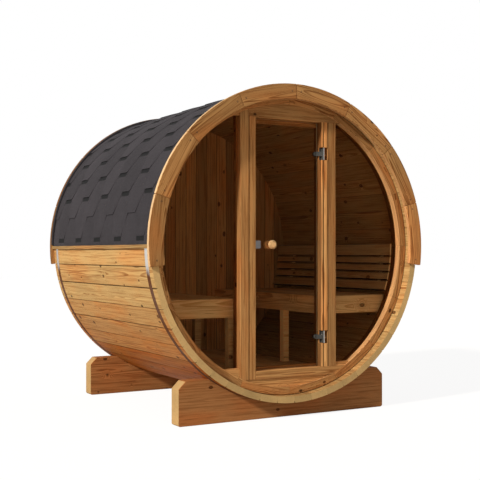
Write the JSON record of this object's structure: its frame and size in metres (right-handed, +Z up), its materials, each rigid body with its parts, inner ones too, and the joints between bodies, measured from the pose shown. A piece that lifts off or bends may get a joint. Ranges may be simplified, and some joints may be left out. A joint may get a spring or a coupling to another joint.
{
  "type": "barrel sauna",
  "caption": "Barrel sauna: a lying stave barrel on two cradles, with a glazed front, a hinged glass door, slatted benches and a tiled half roof.",
  "frame": {"origin": "on the ground under the middle of the barrel", "axes": "+Z up, barrel's axis along Y, doorway facing -Y, +X to the right of someone who looks at the doorway"},
  "size_m": [2.049, 1.79, 2.1235],
  "materials": {
    "stave_wood": "matte",
    "frame_wood": "satin",
    "cradle_wood": "matte",
    "inner_wood": "matte",
    "knob_wood": "satin",
    "band_steel": "satin",
    "fitting_metal": "satin",
    "bronze_glass": "gloss",
    "bitumen": "matte",
    "vent_plastic": "matte"
  },
  "bodies": {
    "sauna": {"bench_frames": "inner_wood", "bench_skirts": "inner_wood", "eave_battens": "frame_wood", "floor_boards": "inner_wood", "floor_joists": "inner_wood", "front_arch": "frame_wood", "front_cradle": "cradle_wood", "front_ring": "frame_wood", "header_panel": "frame_wood", "hinge_plates": "fitting_metal", "left_backrest": "inner_wood", "left_bench_seat": "inner_wood", "left_jamb": "frame_wood", "left_pane": "bronze_glass", "left_post": "frame_wood", "left_roofing": "bitumen", "lower_panel": "frame_wood", "rear_arch": "frame_wood", "rear_cradle": "cradle_wood", "rear_vent": "vent_plastic", "rear_wall": "inner_wood", "right_backrest": "inner_wood", "right_bench_seat": "inner_wood", "right_jamb": "frame_wood", "right_pane": "bronze_glass", "right_post": "frame_wood", "right_roofing": "bitumen", "shell_segment_01": "stave_wood", "shell_segment_02": "stave_wood", "shell_segment_03": "stave_wood", "shell_segment_04": "stave_wood", "shell_segment_05": "stave_wood", "shell_segment_06": "stave_wood", "shell_segment_07": "stave_wood", "shell_segment_08": "stave_wood", "shell_segment_09": "stave_wood", "shell_segment_10": "stave_wood", "shell_segment_11": "stave_wood", "shell_segment_12": "stave_wood", "sill": "frame_wood", "steel_bands": "band_steel"},
    "door": {"catch_plate": "fitting_metal", "door_glass": "bronze_glass", "door_knob": "knob_wood", "hinge_clamps": "fitting_metal"}
  },
  "joints": [
    {"name": "door_hinge", "type": "hinge", "parent": "sauna", "child": "door", "pos_m": [0.27, -0.799, 1.108], "axis": [0, 0, 1], "range_deg": [0, 110]}
  ]
}
